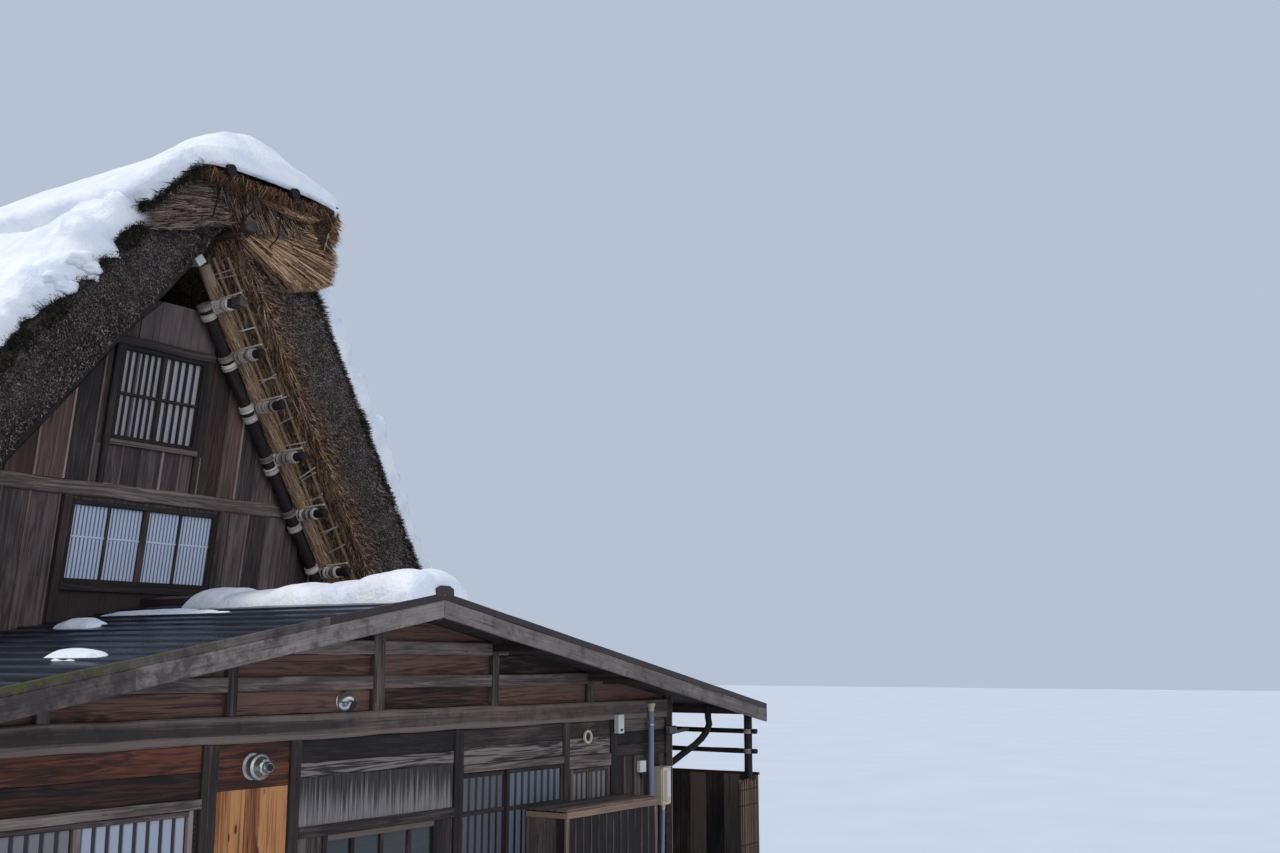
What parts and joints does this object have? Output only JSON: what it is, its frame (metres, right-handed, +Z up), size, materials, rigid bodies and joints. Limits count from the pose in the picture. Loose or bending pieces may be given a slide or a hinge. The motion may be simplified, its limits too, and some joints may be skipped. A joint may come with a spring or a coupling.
{
  "type": "minka farmhouse",
  "caption": "Steep thatched farmhouse in snow, with leaning gables, a low metal-roofed timber annex across its front, and a sliding entrance door.",
  "frame": {"origin": "on the ground under the annex's front sill, below the ridge line", "axes": "+Z up, +Y back along the ridge, +X to the right of someone who faces the annex"},
  "size_m": [13.14, 19.08, 9.37],
  "materials": {
    "dark_wood": "weathered boards",
    "grey_wood": "grey weathered timber",
    "red_wood": "red-brown boards",
    "floor_wood": "plain boards",
    "lattice_wood": "dark frames with pale panes",
    "window_frame": "grey frames with ribbed panes",
    "thatch": "cut reed ends with moss",
    "straw": "loose straw",
    "snow": "settled snow",
    "roof_metal": "dark painted sheet in steps",
    "brown_metal": "brown painted sheet",
    "steel": "dull bright steel",
    "grey_plastic": "faded grey pipe",
    "beige_plastic": "aged beige casing",
    "panes": "frosted panes"
  },
  "bodies": {
    "house": {"annex_sill": "grey_wood", "annex_post_left": "dark_wood", "annex_post_narrow_bay": "dark_wood", "annex_post_door_left": "dark_wood", "annex_post_door_right": "dark_wood", "annex_wall_left_bays": "red_wood", "annex_wall_right_bay": "dark_wood", "annex_window_left": "window_frame", "annex_window_middle": "lattice_wood", "annex_window_right": "window_frame", "annex_beam": "grey_wood", "door_head": "dark_wood", "door_leaf_fixed": "window_frame", "annex_gable_frame": "grey_wood", "annex_gable_boards": "red_wood", "annex_roof_left": "roof_metal", "annex_roof_right": "roof_metal", "annex_ridge_cap": "brown_metal", "annex_bargeboards": "grey_wood", "annex_wall_left": "dark_wood", "annex_wall_right": "dark_wood", "annex_floor": "floor_wood", "annex_back_wall": "dark_wood", "house_wall_left": "dark_wood", "house_panes_left": "panes", "house_wall_right": "dark_wood", "house_panes_right": "panes", "house_wall_back": "dark_wood", "house_panes_back": "panes", "house_floor": "floor_wood", "attic_floor_low": "floor_wood", "attic_floor_high": "floor_wood", "gable_wall_front": "dark_wood", "gable_window_low_front": "window_frame", "gable_window_high_front": "lattice_wood", "gable_beam_front": "grey_wood", "verge_poles_left_front": "dark_wood", "verge_poles_right_front": "dark_wood", "gable_wall_back": "dark_wood", "gable_window_low_back": "window_frame", "gable_window_high_back": "lattice_wood", "gable_beam_back": "grey_wood", "verge_poles_left_back": "dark_wood", "verge_poles_right_back": "dark_wood", "thatch_left": "thatch", "thatch_right": "thatch", "ridge_cap": "straw", "roof_snow": "snow", "annex_ridge_snow": "snow", "flue_terminal": "steel", "vent_hood": "steel", "drain_pipe": "grey_plastic", "meter_box": "beige_plastic", "board_store": "dark_wood", "shelter_frame": "dark_wood", "shelter_side_screen": "dark_wood", "reed_screen": "straw", "eave_brace": "dark_wood"},
    "door": {"door_leaf_sliding": "window_frame"}
  },
  "joints": [
    {"name": "entrance_slide", "type": "slide", "parent": "house", "child": "door", "axis": [1, 0, 0], "range_m": [0, 0.72]}
  ]
}
